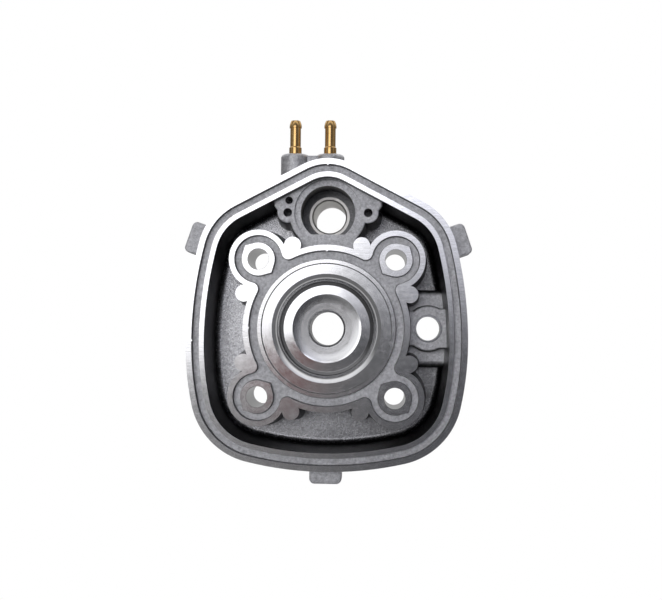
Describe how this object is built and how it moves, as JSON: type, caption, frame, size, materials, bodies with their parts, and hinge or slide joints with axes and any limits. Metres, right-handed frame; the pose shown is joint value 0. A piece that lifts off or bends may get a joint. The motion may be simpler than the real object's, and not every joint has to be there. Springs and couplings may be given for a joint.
{
  "type": "cylinder head",
  "caption": "Water-cooled two-stroke cylinder head: pentagonal cast flange, round chamber with stud lobes, thermostat housing, hose spigot and brass nipples.",
  "frame": {"origin": "centre of the four stud holes on the mating plane, which is also the combustion chamber's axis", "axes": "+Z out of the mating face towards the cylinder, so the head lies on its back; +Y towards the thermostat housing and the hose nipples; +X towards the temperature sensor boss"},
  "size_m": [0.1094, 0.1406, 0.045],
  "materials": {
    "cast_aluminium": "as-cast, with machined sealing faces",
    "turned_aluminium": "turned",
    "brass": "turned"
  },
  "bodies": {
    "root": {"head_casting": "cast_aluminium", "hose_spigot": "turned_aluminium", "nipple_centre": "brass", "nipple_left": "brass"}
  },
  "joints": []
}
